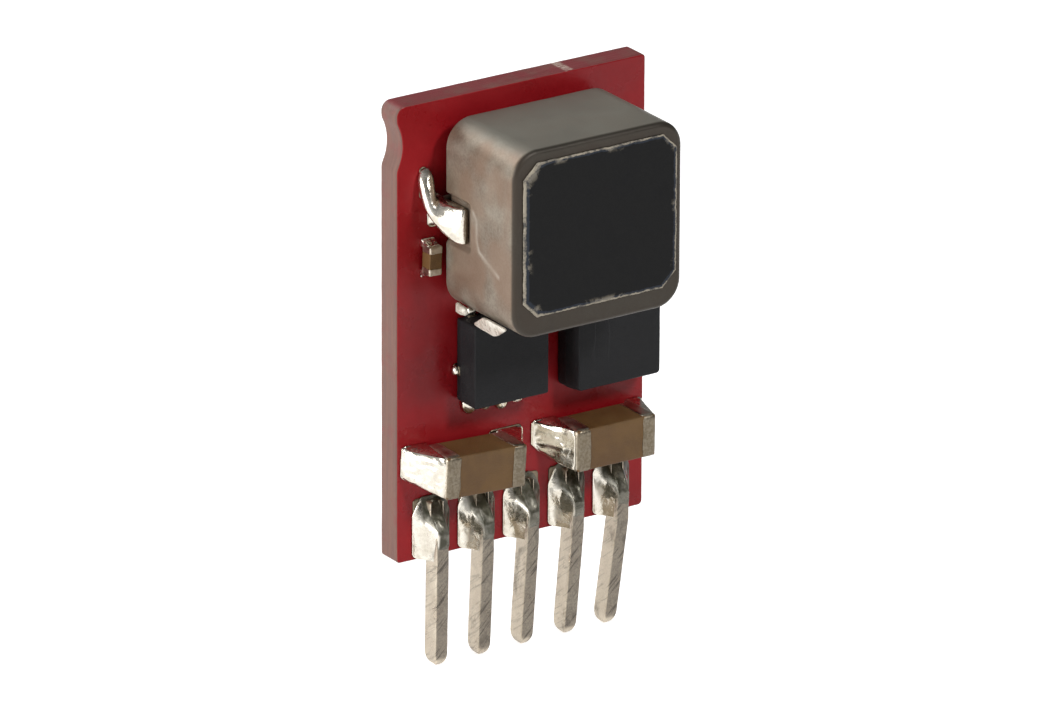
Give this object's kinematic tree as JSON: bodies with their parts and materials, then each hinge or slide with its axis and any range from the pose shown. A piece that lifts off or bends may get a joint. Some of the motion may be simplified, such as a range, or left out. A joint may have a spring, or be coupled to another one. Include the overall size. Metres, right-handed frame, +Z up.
{
  "type": "switching regulator module",
  "caption": "Upright voltage regulator module: a small circuit board with a moulded power inductor, two chip packages and ceramic capacitors, on a row of solder pins.",
  "frame": {"origin": "on the axis of the middle pin, level with the board's lower edge, which is the seating plane", "axes": "+Z up the board away from the pins' tips, -Y out of the component side, +X to the right seen from the component side"},
  "size_m": [0.01, 0.0058, 0.0203],
  "materials": {
    "board_laminate": "red solder mask over glass-fibre laminate, cut edges bare",
    "tinned_copper": "tin-plated copper lands",
    "pin_metal": "tin-plated brass strip with fine drawing marks",
    "solder": "bright reflowed solder, slightly wrinkled",
    "terminal_metal": "satin tin plating",
    "powder_moulding": "fine grey moulded metal powder, satin",
    "label_ink": "matt black print with a worn pale rim",
    "package_moulding": "black epoxy moulding compound",
    "chip_ceramic": "fired brown ceramic, satin"
  },
  "bodies": {
    "root": {"board": "board_laminate", "board_lands": "tinned_copper", "pin_1": "pin_metal", "pin_2": "pin_metal", "pin_3": "pin_metal", "pin_4": "pin_metal", "pin_5": "pin_metal", "pin_1_solder": "solder", "pin_2_solder": "solder", "pin_3_solder": "solder", "pin_4_solder": "solder", "pin_5_solder": "solder", "inductor_body": "powder_moulding", "inductor_label": "label_ink", "inductor_left_terminal": "terminal_metal", "inductor_right_terminal": "terminal_metal", "inductor_left_solder": "solder", "inductor_right_solder": "solder", "regulator_package": "package_moulding", "regulator_leads": "terminal_metal", "regulator_solder": "solder", "power_stage_package": "package_moulding", "power_stage_leads": "terminal_metal", "power_stage_solder": "solder", "input_capacitor_ceramic": "chip_ceramic", "input_capacitor_left_terminal": "terminal_metal", "input_capacitor_right_terminal": "terminal_metal", "input_capacitor_left_solder": "solder", "input_capacitor_right_solder": "solder", "output_capacitor_ceramic": "chip_ceramic", "output_capacitor_left_terminal": "terminal_metal", "output_capacitor_right_terminal": "terminal_metal", "output_capacitor_left_solder": "solder", "output_capacitor_right_solder": "solder", "small_capacitor_ceramic": "chip_ceramic", "small_capacitor_upper_terminal": "terminal_metal", "small_capacitor_lower_terminal": "terminal_metal", "small_capacitor_upper_solder": "solder", "small_capacitor_lower_solder": "solder"}
  },
  "joints": []
}
